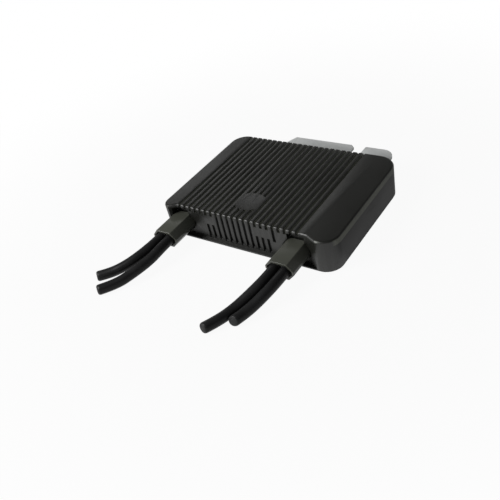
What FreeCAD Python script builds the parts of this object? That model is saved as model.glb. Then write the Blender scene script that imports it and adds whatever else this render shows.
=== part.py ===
import FreeCAD, Part
import math
import os
import re
import Sketcher
from FreeCAD import Placement, Rotation, Vector

# A power optimizer for one solar panel: a flat converter in a ribbed cover on a metal plate,
# with two cable glands along its front side and a slotted bracket along its back side.
# The origin is the middle of the plate's underside. X runs along the cable side, to the right as
# that side is looked at, Y runs from the cables to the bracket, and Z is up. All sizes are in mm.
SIZES = [
    ("housing_width", 152.0, "housing, left to right"),
    ("housing_depth", 112.7, "housing, front to back, without glands and bracket"),
    ("housing_height", 26.9, "housing, underside to rib tops"),
    ("plate_thickness", 1.2, "metal base plate"),
    ("plate_inset", 0.6, "cover's outer face to the plate's edge"),
    ("corner_front_left", 8.0, "radius of the front left corner"),
    ("corner_front_right", 13.0, "radius of the front right corner"),
    ("corner_back_right", 16.0, "radius of the back right corner"),
    ("corner_back_left", 13.0, "radius of the back left corner"),
    ("edge_radius", 1.8, "rounding of the cover's top edge"),
    ("wall_thickness", 2.5, "side walls of the cover"),
    ("roof_thickness", 2.2, "roof of the cover under the grooves"),
    ("recess_depth", 4.5, "how far the ribbed front wall stands behind the corners"),
    ("recess_left_margin", 13.0, "left side of the housing to the front wall"),
    ("recess_right_margin", 23.0, "right side of the housing to the front wall"),
    ("recess_left_slant", 6.0, "width of the slanted left end of the recess"),
    ("recess_right_slant", 9.0, "width of the slanted right end of the recess"),
    ("recess_radius", 5.0, "rounding of the slanted ends"),
    ("groove_count", 22.0, "grooves across the top"),
    ("groove_left_margin", 15.3, "left side of the housing to the first groove"),
    ("groove_right_margin", 30.2, "right side of the housing to the last groove"),
    ("groove_width", 2.6, "groove at its mouth"),
    ("groove_floor_width", 1.4, "groove at its floor"),
    ("groove_depth", 1.8, "grooves in the top"),
    ("front_groove_depth", 1.5, "grooves in the front wall"),
    ("front_groove_foot", 0.3, "plate to the lower end of a front groove"),
    ("front_stub_length", 4.1, "short grooves over the glands, from the top down"),
    ("front_groove_skip", 5.0, "grooves over the left gland that stay short"),
    ("front_groove_count", 12.0, "long grooves between the glands"),
    ("short_groove_length", 14.0, "the last front groove, from the top down"),
    ("top_patch_start", 9.0, "first groove that the bare patch on the top fills"),
    ("top_patch_grooves", 4.0, "grooves that the bare patch on the top fills"),
    ("top_patch_front", 16.1, "front of the housing to the bare patch"),
    ("top_patch_length", 20.5, "bare patch, front to back"),
    ("top_patch_bevel", 3.5, "slanted corners of the bare patch"),
    ("front_patch_height", 8.2, "bare patches on the front wall, low to high"),
    ("front_patch_level", 14.4, "underside of the housing to the bare patches"),
    ("left_patch_grooves", 2.0, "grooves that the left front patch fills"),
    ("right_patch_grooves", 3.0, "grooves that the right front patch fills"),
    ("gland_left_offset", 16.0, "left side of the housing to the left gland's middle"),
    ("gland_right_offset", 32.0, "right side of the housing to the right gland's middle"),
    ("gland_width", 23.0, "gland, side to side"),
    ("gland_flat_width", 13.4, "flat top and bottom of a gland"),
    ("gland_side_height", 2.6, "upright side of a gland"),
    ("gland_height", 13.4, "gland, low to high"),
    ("gland_level", 11.8, "height of the cable axes at the glands"),
    ("gland_reach", 24.35, "front wall to the gland's cable end"),
    ("gland_edge_radius", 1.0, "rounding along a gland"),
    ("gland_recess", 2.5, "depth of the opening round the cables"),
    ("gland_lip", 1.6, "wall round that opening"),
    ("gland_clearance", 0.5, "room round a gland in its pocket"),
    ("pocket_roof", 3.0, "rib tops to the pockets, which stand open over the glands"),
    ("pocket_depth", 4.0, "pocket round a gland, from the front wall"),
    ("neck_width", 14.6, "neck that passes through the wall"),
    ("neck_height", 7.4, "height of that neck"),
    ("neck_stand", 1.9, "neck beyond the inner face of its wall"),
    ("seal_thickness", 1.0, "rubber ring under the gland's shoulder"),
    ("seal_border", 1.0, "ring's width round the neck"),
    ("cable_diameter", 8.0, "jacket of a lead"),
    ("cable_spacing", 8.6, "middle to middle of a pair of leads"),
    ("cable_lift", 0.1, "ground to a resting lead"),
    ("conductor_diameter", 2.8, "stranded core of a lead"),
    ("gasket_width", 1.2, "seal between cover and plate"),
    ("gasket_height", 1.2, "seal between cover and plate"),
    ("gasket_inset", 0.7, "cover's outer face to the seal"),
    ("boss_radius", 4.0, "screw bosses in the cover"),
    ("boss_side_inset", 9.5, "housing side to a corner boss"),
    ("boss_front_inset", 30.0, "housing front to a corner boss"),
    ("boss_back_inset", 14.5, "housing back to a corner boss"),
    ("screw_radius", 1.5, "cover screws"),
    ("screw_length", 8.0, "cover screws"),
    ("screw_head_radius", 2.6, "cover screws"),
    ("screw_sink", 0.1, "cover screws, heads above the plate's underside"),
    ("screw_clearance", 0.05, "gap round every screw"),
    ("bracket_thickness", 2.0, "bracket sheet"),
    ("bracket_reach", 15.7, "housing back to the bracket's outer edge"),
    ("bracket_level", 22.0, "upper face of the bracket's flange"),
    ("bracket_foot", 4.5, "lower edge of the bracket's leg"),
    ("bracket_left", -33.0, "left end of the flange at the housing"),
    ("bracket_right", 65.7, "right end of the flange"),
    ("bracket_left_slant", 7.0, "how far the left end leans in"),
    ("bracket_leg_right", 56.0, "right end of the leg"),
    ("bracket_corner", 10.5, "radius of the flange's right corner"),
    ("bracket_bend", 1.6, "inner radius of the fold"),
    ("slot_left", 30.1, "left side of the open slot"),
    ("slot_width", 9.2, "open slot for an M8 bolt"),
    ("slot_depth", 12.0, "open slot, from the flange's edge"),
    ("slot_lead", 3.2, "lead-in on the slot's left side"),
    ("rail_depth", 5.0, "rail behind the back wall for the bracket's screws"),
    ("rail_height", 10.0, "that rail, low to high"),
    ("bracket_screw_level", 12.0, "height of the bracket's screws"),
    ("bracket_screw_first", -18.0, "first of them, from the middle"),
    ("bracket_screw_pitch", 33.0, "screw to screw"),
    ("bracket_screw_count", 3.0, "screws in the bracket's leg"),
    ("bracket_screw_radius", 2.0, "bracket screws"),
    ("bracket_screw_length", 8.0, "bracket screws, under the head"),
    ("bracket_head_radius", 3.6, "bracket screws"),
    ("bracket_head_height", 2.2, "bracket screws"),
    ("board_side_gap", 17.0, "housing's sides to the circuit board"),
    ("board_front_gap", 17.8, "housing's front to the circuit board"),
    ("board_back_gap", 14.8, "housing's back to the circuit board"),
    ("board_thickness", 1.6, "circuit board"),
    ("board_corner", 2.0, "circuit board"),
    ("standoff_height", 3.2, "posts under the board"),
    ("standoff_width", 6.0, "posts under the board"),
    ("standoff_inset", 4.5, "board's edges to a post"),
    ("core_width", 34.0, "inductor core"),
    ("core_depth", 16.0, "inductor core"),
    ("core_headroom", 3.3, "inductor core to the roof"),
    ("core_yoke", 2.8, "inductor core, above and below the coil"),
    ("core_leg", 10.0, "inductor core, middle leg"),
    ("core_window", 7.0, "inductor core, room for the coil"),
    ("core_left", 6.0, "middle of the housing to the core"),
    ("core_front", 2.0, "middle of the housing to the core"),
    ("coil_clearance", 0.3, "gap between coil and core"),
    ("film_width", 8.5, "input capacitors"),
    ("film_length", 18.0, "input capacitors"),
    ("film_headroom", 1.8, "input capacitors to the roof"),
    ("film_pitch", 10.0, "input capacitors"),
    ("film_left_gap", 7.0, "board's left edge to the input capacitors"),
    ("film_back_gap", 11.5, "board's back edge to the input capacitors"),
    ("can_radius", 5.0, "output capacitors"),
    ("can_headroom", 3.3, "output capacitors to the roof"),
    ("can_pitch", 11.0, "output capacitors"),
    ("can_first", -13.5, "output capacitors, first from the middle"),
    ("can_row", 24.0, "output capacitors, row behind the middle"),
    ("transistor_width", 10.0, "power transistors"),
    ("transistor_depth", 9.0, "power transistors"),
    ("transistor_height", 2.3, "power transistors"),
    ("transistor_pitch", 15.0, "power transistors"),
    ("transistor_first", -27.5, "power transistors, left side of the first"),
    ("transistor_front", -6.0, "power transistors, front side"),
    ("thermal_border", 2.5, "heat pad beyond the transistors"),
    ("chip_width", 12.0, "control chip"),
    ("chip_height", 1.4, "control chip"),
    ("chip_left", -28.0, "control chip"),
    ("chip_front", -14.0, "control chip"),
    ("transformer_width", 12.0, "signal transformer"),
    ("transformer_depth", 11.0, "signal transformer"),
    ("transformer_height", 8.0, "signal transformer"),
    ("transformer_foot", 1.0, "rim of the signal transformer's base"),
    ("transformer_base", 2.0, "base of the signal transformer"),
    ("transformer_left", -12.0, "signal transformer"),
    ("transformer_front", -16.0, "signal transformer"),
    ("terminal_width", 6.4, "wire terminals"),
    ("terminal_depth", 7.0, "wire terminals"),
    ("terminal_height", 8.6, "wire terminals"),
    ("terminal_front", -13.0, "wire terminals, front side"),
    ("terminal_left_shift", 10.0, "left leads, sideways to their terminals"),
    ("terminal_right_shift", -3.0, "right leads, sideways to their terminals"),
]

# Routes of the four leads, from the gland to the cut end, along the middle of the jacket. Each point
# is its way sideways and its way forward from where the lead leaves the gland, and the share of that
# height over its resting height that it still has.
CABLE_ROUTES = {
    "cable_left_outer": [
        (0.0, 0.0, 1.0), (0.0, 11.5, 1.0), (-2.9, 24.2, 0.81),
        (-9.4, 35.7, 0.4), (-19.2, 45.4, 0.0), (-26.7, 52.0, 0.0),
    ],
    "cable_left_inner": [
        (0.0, 0.0, 1.0), (0.0, 11.5, 1.0), (-1.6, 25.3, 0.66),
        (-6.8, 39.8, 0.36), (-13.8, 53.1, 0.0), (-23.2, 63.5, 0.0),
    ],
    "cable_right_long": [
        (0.0, 0.0, 1.0), (0.0, 11.5, 1.0), (-2.6, 24.0, 0.75),
        (-9.4, 38.7, 0.02), (-14.1, 53.8, 0.0), (-19.3, 62.8, 0.0),
    ],
    "cable_right_short": [
        (0.0, 0.0, 1.0), (0.0, 11.5, 1.0), (-2.2, 22.8, 0.74),
        (-6.6, 34.5, 0.24), (-10.9, 45.1, 0.0), (-13.5, 51.8, 0.0),
    ],
}
ARC_SHARE = 0.45  # of the shorter run, on each side of a bend

document = FreeCAD.newDocument("power_optimizer")
sheet = document.addObject("Spreadsheet::Sheet", "Sizes")
for row, (alias, amount, note) in enumerate(SIZES, start=1):
    sheet.set(f"A{row}", alias)
    sheet.set(f"B{row}", str(amount))
    sheet.set(f"C{row}", note)
    sheet.setAlias(f"B{row}", alias)
document.recompute()


def cells(expression):
    """Turns the size names in an expression into references to the sheet."""
    return re.sub(r"[a-z]+(_[a-z]+)+", lambda word: "Sizes." + word.group(), str(expression))


def measure(expression):
    """The present value of an expression, in millimetres."""
    return float(sheet.evalExpression(cells(expression)))


# Planes that several pieces share.
LEFT = "-housing_width / 2"
RIGHT = "housing_width / 2"
FRONT = "-housing_depth / 2"
BACK = "housing_depth / 2"
FRONT_WALL = "(-housing_depth / 2 + recess_depth)"
POCKET_FLOOR = "(-housing_depth / 2 + recess_depth + pocket_depth)"
POCKET_WALL_INSIDE = "(-housing_depth / 2 + recess_depth + pocket_depth + wall_thickness)"
CAVITY_TOP = "(housing_height - groove_depth - roof_thickness)"
FIRST_GROOVE = "(-housing_width / 2 + groove_left_margin)"
GROOVE_PITCH = "((housing_width - groove_left_margin - groove_right_margin) / (groove_count - 1))"
GLAND_LEFT = "(-housing_width / 2 + gland_left_offset)"
GLAND_RIGHT = "(housing_width / 2 - gland_right_offset)"
GLAND_END = "(-housing_depth / 2 + recess_depth - gland_reach)"
BOARD_LEFT = "(-housing_width / 2 + board_side_gap)"
BOARD_RIGHT = "(housing_width / 2 - board_side_gap)"
BOARD_FRONT = "(-housing_depth / 2 + board_front_gap)"
BOARD_BACK = "(housing_depth / 2 - board_back_gap)"
BOARD_BOTTOM = "(plate_thickness + standoff_height)"
BOARD_TOP = "(plate_thickness + standoff_height + board_thickness)"
ROOM_OVER_BOARD = f"({CAVITY_TOP} - {BOARD_TOP})"
COVER_CORNERS = ("corner_front_left", "corner_front_right", "corner_back_right", "corner_back_left")
SCREW_SPOTS = [
    (f"{LEFT} + boss_side_inset", f"{FRONT} + boss_front_inset"),
    (f"{RIGHT} - boss_side_inset", f"{FRONT} + boss_front_inset"),
    (f"{RIGHT} - boss_side_inset", f"{BACK} - boss_back_inset"),
    (f"{LEFT} + boss_side_inset", f"{BACK} - boss_back_inset"),
]
STANDOFF_SPOTS = [
    (across, deep)
    for across in (f"{BOARD_LEFT} + standoff_inset", f"{BOARD_RIGHT} - standoff_inset")
    for deep in (f"{BOARD_FRONT} + standoff_inset", f"{BOARD_BACK} - standoff_inset")
]


def groove_middle(number):
    """Expression for the middle of a groove, counted from the left with 0 as the first."""
    return f"({FIRST_GROOVE} + ({number}) * {GROOVE_PITCH})"


def new_body(name):
    body = document.addObject("PartDesign::Body", name)
    body.Label = name
    return body


def new_sketch(body, name, plane, level="0"):
    """A sketch on one of the body's origin planes, moved along that plane's normal."""
    sketch = body.newObject("Sketcher::SketchObject", name)
    support = [feature for feature in body.Origin.OriginFeatures if feature.Role == plane][0]
    sketch.AttachmentSupport = [(support, "")]
    sketch.MapMode = "FlatFace"
    sketch.setExpression(".AttachmentOffset.Base.z", cells(level))
    return sketch


def drive(sketch, constraint, expression):
    """Adds a constraint whose value follows the sheet."""
    index = sketch.addConstraint(constraint)
    sketch.setExpression(f"Constraints[{index}]", cells(expression))


def add_polygon(sketch, corners):
    """A closed outline of straight sides. Each corner is a pair of expressions."""
    spots = [Vector(measure(across), measure(up), 0) for across, up in corners]
    first = sketch.GeometryCount
    for number, spot in enumerate(spots):
        following = spots[(number + 1) % len(spots)]
        sketch.addGeometry(Part.LineSegment(spot, following), False)
    for number in range(len(spots)):
        neighbour = first + (number + 1) % len(spots)
        sketch.addConstraint(Sketcher.Constraint("Coincident", first + number, 2, neighbour, 1))
    for number, (across, up) in enumerate(corners):
        line = first + number
        drive(sketch, Sketcher.Constraint("DistanceX", -1, 1, line, 1, spots[number].x), across)
        drive(sketch, Sketcher.Constraint("DistanceY", -1, 1, line, 1, spots[number].y), up)


def add_rectangle(sketch, left, right, low, high):
    add_polygon(sketch, [(left, low), (right, low), (right, high), (left, high)])


def add_circle(sketch, across, up, radius):
    centre = Vector(measure(across), measure(up), 0)
    circle = sketch.addGeometry(Part.Circle(centre, Vector(0, 0, 1), measure(radius)), False)
    drive(sketch, Sketcher.Constraint("Radius", circle, measure(radius)), radius)
    drive(sketch, Sketcher.Constraint("DistanceX", -1, 1, circle, 3, centre.x), across)
    drive(sketch, Sketcher.Constraint("DistanceY", -1, 1, circle, 3, centre.y), up)


def add_rounded_rectangle(sketch, left, right, low, high, radii):
    """Four sides joined by tangent arcs. The radii start at the lower left corner and run round."""
    west, east, south, north = (measure(side) for side in (left, right, low, high))
    lower_left, lower_right, upper_right, upper_left = (measure(radius) for radius in radii)
    up = Vector(0, 0, 1)

    def corner(x_middle, y_middle, radius, start):
        circle = Part.Circle(Vector(x_middle, y_middle, 0), up, radius)
        return Part.ArcOfCircle(circle, math.radians(start), math.radians(start + 90))

    first = sketch.GeometryCount
    for piece in (
        Part.LineSegment(Vector(west + lower_left, south, 0), Vector(east - lower_right, south, 0)),
        corner(east - lower_right, south + lower_right, lower_right, 270),
        Part.LineSegment(Vector(east, south + lower_right, 0), Vector(east, north - upper_right, 0)),
        corner(east - upper_right, north - upper_right, upper_right, 0),
        Part.LineSegment(Vector(east - upper_right, north, 0), Vector(west + upper_left, north, 0)),
        corner(west + upper_left, north - upper_left, upper_left, 90),
        Part.LineSegment(Vector(west, north - upper_left, 0), Vector(west, south + lower_left, 0)),
        corner(west + lower_left, south + lower_left, lower_left, 180),
    ):
        sketch.addGeometry(piece, False)
    for number in range(8):
        neighbour = first + (number + 1) % 8
        sketch.addConstraint(Sketcher.Constraint("Tangent", first + number, 2, neighbour, 1))
    for number, kind in ((0, "Horizontal"), (2, "Vertical"), (4, "Horizontal"), (6, "Vertical")):
        sketch.addConstraint(Sketcher.Constraint(kind, first + number))
    for number, radius in ((7, radii[0]), (1, radii[1]), (3, radii[2]), (5, radii[3])):
        drive(sketch, Sketcher.Constraint("Radius", first + number, measure(radius)), radius)
    drive(sketch, Sketcher.Constraint("DistanceY", -1, 1, first, 1, south), low)
    drive(sketch, Sketcher.Constraint("DistanceX", -1, 1, first + 2, 1, east), right)
    drive(sketch, Sketcher.Constraint("DistanceY", -1, 1, first + 4, 1, north), high)
    drive(sketch, Sketcher.Constraint("DistanceX", -1, 1, first + 6, 1, west), left)


def add_pad(body, name, sketch, length):
    """Adds material along the sketch's normal."""
    pad = body.newObject("PartDesign::Pad", name)
    pad.Profile = sketch
    pad.setExpression("Length", cells(length))
    document.recompute()
    return pad


def add_pocket(body, name, sketch, depth=None, along_normal=False):
    """Cuts against the sketch's normal, or along it, or both ways through everything."""
    before = body.Shape.Volume
    pocket = body.newObject("PartDesign::Pocket", name)
    pocket.Profile = sketch
    pocket.Reversed = along_normal
    if depth is None:
        pocket.Type = "ThroughAll"
        pocket.SideType = "Symmetric"
    else:
        pocket.setExpression("Length", cells(depth))
    document.recompute()
    if body.Shape.Volume >= before:
        raise RuntimeError(f"{name} cuts nothing")
    return pocket


def add_row(body, name, original, count, pitch):
    """Repeats a cut along X."""
    row_of = body.newObject("PartDesign::LinearPattern", name)
    row_of.Originals = [original]
    direction = [feature for feature in body.Origin.OriginFeatures if feature.Role == "X_Axis"][0]
    row_of.Direction = (direction, [""])
    row_of.Mode = "Extent"
    row_of.setExpression("Length", cells(f"{pitch} * ({count} - 1)"))
    row_of.setExpression("Occurrences", cells(count))
    body.Tip = row_of
    document.recompute()
    return row_of


def edge_names(shape, wanted):
    """Names of the edges for which wanted(edge) holds."""
    return [f"Edge{number}" for number, edge in enumerate(shape.Edges, start=1) if wanted(edge)]


def upright_edges(shape, spots):
    """Names of the upright edges at the given places, each a pair of expressions."""
    places = [(measure(across), measure(deep)) for across, deep in spots]

    def stands_there(edge):
        box = edge.BoundBox
        upright = box.ZLength > 1 and box.DiagonalLength - box.ZLength < 0.05
        return upright and any(
            math.hypot(box.Center.x - across, box.Center.y - deep) < 0.05
            for across, deep in places)

    return edge_names(shape, stands_there)


def level_edges(shape, level):
    """Names of the edges that lie flat at a height."""
    height = measure(level)
    return edge_names(shape, lambda edge: abs(edge.BoundBox.ZMin - height) < 0.001
                      and abs(edge.BoundBox.ZMax - height) < 0.001)


def add_rounding(body, name, edges, radius):
    """Rounds edges of the body's last feature."""
    rounding = body.newObject("PartDesign::Fillet", name)
    rounding.Base = (rounding.BaseFeature, edges)
    rounding.setExpression("Radius", cells(radius))
    document.recompute()
    return rounding


def add_bevel(body, name, edges, size):
    """Chamfers edges of the body's last feature."""
    bevel = body.newObject("PartDesign::Chamfer", name)
    bevel.Base = (bevel.BaseFeature, edges)
    bevel.setExpression("Size", cells(size))
    document.recompute()
    return bevel


def new_box(name, corner, lengths):
    """A block from its lowest corner and its three lengths, all expressions."""
    block = document.addObject("Part::Box", name)
    for axis, place in zip("xyz", corner):
        block.setExpression(f".Placement.Base.{axis}", cells(place))
    for side, length in zip(("Length", "Width", "Height"), lengths):
        block.setExpression(side, cells(length))
    return block


def new_round(name, kind, centre, turn=None, **dimensions):
    """A cylinder, cone or prism that stands on its centre, or lies along Y."""
    solid = document.addObject(kind, name)
    if turn:
        solid.Placement = Placement(Vector(), turn)
    for axis, place in zip("xyz", centre):
        solid.setExpression(f".Placement.Base.{axis}", cells(place))
    for dimension, amount in dimensions.items():
        solid.setExpression(dimension, cells(amount))
    return solid


def new_group(name, solids):
    """Separate like solids in one node."""
    group = document.addObject("Part::MultiFuse", name)
    group.Shapes = solids
    group.Refine = False
    group.Label = name
    return group


def new_cut(name, base, tool):
    cut = document.addObject("Part::Cut", name)
    cut.Base = base
    cut.Tool = tool
    cut.Label = name
    return cut


def make_housing_cover():
    """The moulded cover: grooves over the top and down the recessed front wall."""
    body = new_body("housing_cover")
    outline = new_sketch(body, "cover_outline", "XY_Plane", "plate_thickness")
    add_rounded_rectangle(outline, LEFT, RIGHT, FRONT, BACK, COVER_CORNERS)
    add_pad(body, "cover_block", outline, "housing_height - plate_thickness")

    inner_left = f"{LEFT} + recess_left_margin"
    inner_right = f"{RIGHT} - recess_right_margin"
    outer_left = f"{inner_left} - recess_left_slant"
    outer_right = f"{inner_right} + recess_right_slant"
    recess = new_sketch(body, "recess_outline", "XY_Plane")
    add_polygon(recess, [
        (outer_left, FRONT), (f"{outer_left} - recess_left_slant", f"{FRONT} - recess_depth"),
        (f"{outer_right} + recess_right_slant", f"{FRONT} - recess_depth"), (outer_right, FRONT),
        (inner_right, FRONT_WALL), (inner_left, FRONT_WALL)])
    add_pocket(body, "front_recess", recess)
    bends = upright_edges(body.Shape, [
        (inner_left, FRONT_WALL), (inner_right, FRONT_WALL), (outer_right, FRONT)])
    add_rounding(body, "recess_rounding", bends, "recess_radius")
    add_rounding(body, "top_rounding", level_edges(body.Shape, "housing_height"), "edge_radius")

    cavity = new_sketch(body, "cavity_outline", "XY_Plane", "plate_thickness")
    add_rounded_rectangle(
        cavity, f"{LEFT} + wall_thickness", f"{RIGHT} - wall_thickness",
        f"{FRONT_WALL} + wall_thickness", f"{BACK} - wall_thickness",
        [f"{corner} - wall_thickness" for corner in COVER_CORNERS])
    add_pocket(body, "cavity", cavity, f"{CAVITY_TOP} - plate_thickness", along_normal=True)

    inside_height = f"{CAVITY_TOP} - plate_thickness"
    for side, middle in (("left", GLAND_LEFT), ("right", GLAND_RIGHT)):
        socket = new_sketch(body, f"socket_outline_{side}", "XY_Plane", "plate_thickness")
        half = "(gland_width / 2 + gland_clearance + wall_thickness)"
        add_rectangle(socket, f"{middle} - {half}", f"{middle} + {half}",
                      f"{FRONT_WALL} + wall_thickness / 2", POCKET_WALL_INSIDE)
        add_pad(body, f"socket_{side}", socket, inside_height)
    bosses = new_sketch(body, "boss_outline", "XY_Plane", "plate_thickness")
    for across, deep in SCREW_SPOTS:
        add_circle(bosses, across, deep, "boss_radius")
    add_pad(body, "screw_bosses", bosses, inside_height)
    rail = new_sketch(body, "rail_outline", "XZ_Plane", f"-({BACK} - wall_thickness)")
    last_screw = "(bracket_screw_first + bracket_screw_pitch * (bracket_screw_count - 1))"
    add_rectangle(rail, "bracket_screw_first - boss_radius * 1.5", f"{last_screw} + boss_radius * 1.2",
                  "bracket_screw_level - rail_height / 2", "bracket_screw_level + rail_height / 2")
    add_pad(body, "bracket_rail", rail, "rail_depth")

    for side, middle in (("left", GLAND_LEFT), ("right", GLAND_RIGHT)):
        pocket = new_sketch(body, f"pocket_outline_{side}", "XZ_Plane", f"-({FRONT})")
        add_polygon(pocket, pocket_profile(middle))
        add_pocket(body, f"gland_pocket_{side}", pocket, "recess_depth + pocket_depth")
        opening = new_sketch(body, f"neck_outline_{side}", "XZ_Plane", f"-({POCKET_FLOOR})")
        add_rectangle(opening, f"{middle} - neck_width / 2", f"{middle} + neck_width / 2",
                      "gland_level - neck_height / 2", "gland_level + neck_height / 2")
        add_pocket(body, f"neck_opening_{side}", opening, "wall_thickness * 1.2")

    pilots = new_sketch(body, "pilot_outline", "XY_Plane", "plate_thickness")
    for across, deep in SCREW_SPOTS:
        add_circle(pilots, across, deep, "screw_radius + screw_clearance")
    add_pocket(body, "screw_pilots", pilots, "screw_length", along_normal=True)
    back_pilots = new_sketch(body, "back_pilot_outline", "XZ_Plane", f"-({BACK})")
    for across, up in bracket_screw_spots():
        add_circle(back_pilots, across, up, "bracket_screw_radius + screw_clearance")
    add_pocket(body, "bracket_pilots", back_pilots, "bracket_screw_length - 1", along_normal=True)
    seat = new_sketch(body, "gasket_seat_outline", "XY_Plane", "plate_thickness")
    add_gasket_outline(seat)
    add_pocket(body, "gasket_seat", seat, "gasket_height", along_normal=True)

    groove = new_sketch(body, "top_groove_outline", "XZ_Plane")
    add_polygon(groove, groove_profile(groove_middle(0), "housing_height", "housing_height - groove_depth"))
    first_groove = add_pocket(body, "top_groove", groove)
    add_row(body, "top_grooves", first_groove, "groove_count", GROOVE_PITCH)

    stub = new_sketch(body, "front_stub_outline", "XY_Plane", "housing_height")
    add_polygon(stub, groove_profile(groove_middle(0), FRONT_WALL, f"{FRONT_WALL} + front_groove_depth"))
    first_stub = add_pocket(body, "front_stub", stub, "front_stub_length")
    add_row(body, "front_stubs", first_stub, "groove_count", GROOVE_PITCH)
    long_groove = new_sketch(body, "front_groove_outline", "XY_Plane", "housing_height")
    add_polygon(long_groove, groove_profile(
        groove_middle("front_groove_skip"), FRONT_WALL, f"{FRONT_WALL} + front_groove_depth"))
    first_long = add_pocket(body, "front_groove", long_groove,
                            "housing_height - plate_thickness - front_groove_foot")
    add_row(body, "front_grooves", first_long, "front_groove_count", GROOVE_PITCH)
    last_groove = new_sketch(body, "short_groove_outline", "XY_Plane", "housing_height")
    after_long = groove_middle("front_groove_skip + front_groove_count")
    add_polygon(last_groove, groove_profile(after_long, FRONT_WALL, f"{FRONT_WALL} + front_groove_depth"))
    add_pocket(body, "short_groove", last_groove, "short_groove_length")

    add_top_patch(body)
    add_front_patch(body, "left", "front_groove_skip", "left_patch_grooves")
    add_front_patch(body, "right", "front_groove_skip + front_groove_count - right_patch_grooves",
                    "right_patch_grooves")
    return body


def pocket_profile(middle):
    """Section of a pocket: the gland's own with room round it, and open over the gland's flat top."""
    around = gland_profile(middle, "(-gland_clearance)")
    high_right, high_left = around[4], around[5]
    roof = "housing_height - pocket_roof"
    return around[:5] + [(high_right[0], roof), (high_left[0], roof)] + around[5:]


def groove_profile(middle, mouth, floor):
    """Section of a groove that narrows from its mouth to its floor, drawn past the mouth."""
    outside = f"{mouth} + ({mouth} - ({floor})) * 0.5"
    wide = "(groove_width + (groove_width - groove_floor_width) * 0.5) / 2"
    narrow = "groove_floor_width / 2"
    return [(f"{middle} - {wide}", outside), (f"{middle} + {wide}", outside),
            (f"{middle} + {narrow}", floor), (f"{middle} - {narrow}", floor)]


def add_top_patch(body):
    """The plain patch on the top, which fills a few grooves over a part of their length."""
    sketch = new_sketch(body, "top_patch_outline", "XY_Plane", "housing_height - groove_depth")
    left = groove_middle("top_patch_start - 0.5")
    right = groove_middle("top_patch_start + top_patch_grooves - 0.5")
    front = f"{FRONT} + top_patch_front"
    back = f"{front} + top_patch_length"
    add_polygon(sketch, [
        (left, f"{front} + top_patch_bevel"), (f"{left} + {GROOVE_PITCH}", front),
        (f"{right} - {GROOVE_PITCH}", front), (right, f"{front} + top_patch_bevel"),
        (right, f"{back} - top_patch_bevel"), (f"{right} - {GROOVE_PITCH}", back),
        (f"{left} + {GROOVE_PITCH}", back), (left, f"{back} - top_patch_bevel")])
    add_pad(body, "top_patch", sketch, "groove_depth")


def add_front_patch(body, side, start, grooves):
    """A bare patch on the front wall that fills the upper part of a few grooves."""
    sketch = new_sketch(body, f"{side}_patch_outline", "XZ_Plane", f"-({FRONT_WALL} + front_groove_depth)")
    add_rectangle(sketch, groove_middle(f"{start} - 0.5"), groove_middle(f"{start} + {grooves} - 0.5"),
                  "front_patch_level", "front_patch_level + front_patch_height")
    add_pad(body, f"{side}_patch", sketch, "front_groove_depth")


def add_gasket_outline(sketch):
    """The ring between cover and plate, inside the walls all the way round."""
    for inset in ("gasket_inset", "(gasket_inset + gasket_width)"):
        add_rounded_rectangle(
            sketch, f"{LEFT} + {inset}", f"{RIGHT} - {inset}", f"{FRONT_WALL} + {inset}", f"{BACK} - {inset}",
            [f"{corner} - {inset}" for corner in COVER_CORNERS])


def make_cover_gasket():
    body = new_body("cover_gasket")
    ring = new_sketch(body, "gasket_outline", "XY_Plane", "plate_thickness")
    add_gasket_outline(ring)
    add_pad(body, "gasket_ring", ring, "gasket_height")
    return body


def make_base_plate():
    """The metal plate that carries the board and spreads its heat."""
    body = new_body("base_plate")
    outline = new_sketch(body, "plate_outline", "XY_Plane")
    add_rounded_rectangle(
        outline, f"{LEFT} + plate_inset", f"{RIGHT} - plate_inset", f"{FRONT} + plate_inset",
        f"{BACK} - plate_inset", [f"{corner} - plate_inset" for corner in COVER_CORNERS])
    add_pad(body, "plate_sheet", outline, "plate_thickness")
    posts = new_sketch(body, "standoff_outline", "XY_Plane", "plate_thickness")
    for across, deep in STANDOFF_SPOTS:
        add_rectangle(posts, f"{across} - standoff_width / 2", f"{across} + standoff_width / 2",
                      f"{deep} - standoff_width / 2", f"{deep} + standoff_width / 2")
    add_pad(body, "standoffs", posts, "standoff_height")
    holes = new_sketch(body, "screw_holes_outline", "XY_Plane")
    for across, deep in SCREW_SPOTS:
        add_circle(holes, across, deep, "screw_radius + screw_clearance")
    add_pocket(body, "screw_holes", holes, "plate_thickness", along_normal=True)
    rims = level_edges(body.Shape, "0")
    hole_radius = measure("screw_radius + screw_clearance")
    sinks = [name for name in rims
             if abs(body.Shape.getElement(name).BoundBox.XLength - 2 * hole_radius) < 0.01]
    add_bevel(body, "countersinks", sinks, "screw_head_radius - screw_radius - screw_clearance")
    return body


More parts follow.
